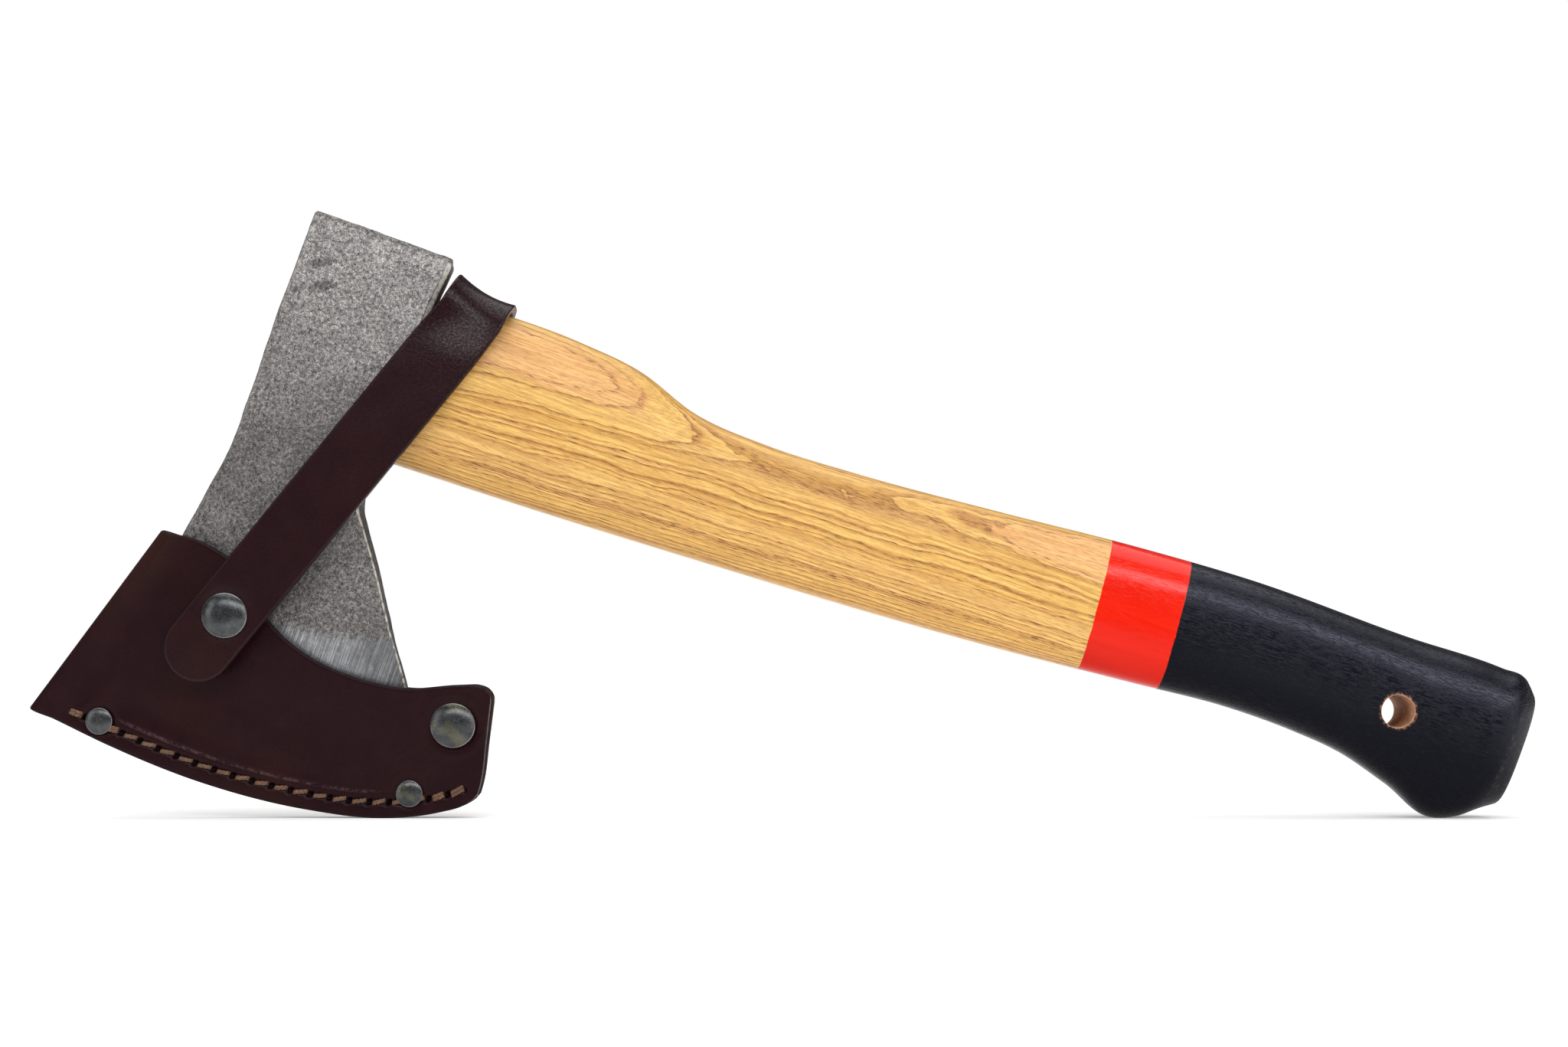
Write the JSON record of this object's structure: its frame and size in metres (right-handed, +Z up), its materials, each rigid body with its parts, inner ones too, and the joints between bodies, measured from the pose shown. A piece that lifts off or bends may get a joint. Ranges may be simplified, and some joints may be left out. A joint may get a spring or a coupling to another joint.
{
  "type": "carving hatchet",
  "caption": "Carving hatchet with a bearded forged head, a curved wooden handle and a stitched leather edge sheath closed by a snap strap.",
  "frame": {"origin": "bottom centre of the bounding box, on the surface that the sheath and the knob of the handle stand on", "axes": "+X from the cutting edge's toe side towards the butt of the handle, +Y through the thickness from the snap side to the back, +Z up"},
  "size_m": [0.4144, 0.0318, 0.1658],
  "materials": {
    "lacquered_ash": "satin lacquer, with a glossy red band and a satin black grip",
    "wedge_wood": "bare, flush with the eye",
    "forged_steel": "blasted forged steel, ground along the edge",
    "ring_steel": "plain",
    "burgundy_leather": "smooth dark burgundy, edges dark grey",
    "strap_leather": "smooth dark burgundy",
    "welt_leather": "cut edge, dyed dark",
    "waxed_thread": "waxed tan thread",
    "antique_cap": "antique gunmetal, polished",
    "post_metal": "plain plated"
  },
  "bodies": {
    "sheath": {"sheath_leather": "burgundy_leather", "sheath_welt": "welt_leather", "stitch_thread_front": "waxed_thread", "stitch_thread_back": "waxed_thread", "toe_rivet_cap": "antique_cap", "toe_rivet_post": "post_metal", "edge_rivet_cap": "antique_cap", "edge_rivet_post": "post_metal", "heel_rivet_cap": "antique_cap", "heel_rivet_post": "post_metal", "snap_stud": "post_metal", "snap_post": "post_metal", "strap_back": "strap_leather", "strap_rivet_cap": "antique_cap", "strap_rivet_post": "post_metal"},
    "hatchet": {"head": "forged_steel", "handle": "lacquered_ash", "handle_wedge": "wedge_wood", "ring_wedge": "ring_steel"},
    "strap_front": {"strap_front": "strap_leather", "snap_cap": "antique_cap", "snap_socket": "post_metal", "snap_ring_spring": "post_metal"}
  },
  "joints": [
    {"name": "hatchet_slide", "type": "slide", "parent": "sheath", "child": "hatchet", "axis": [0.4273, 0, 0.9041], "range_m": [0, 0.17], "deforming": ["strap_front"]},
    {"name": "strap_hinge", "type": "hinge", "parent": "sheath", "child": "strap_front", "pos_m": [-0.08495, 0.016, 0.137], "axis": [-0.8678, 0, 0.4969], "range_deg": [0, 175]}
  ]
}
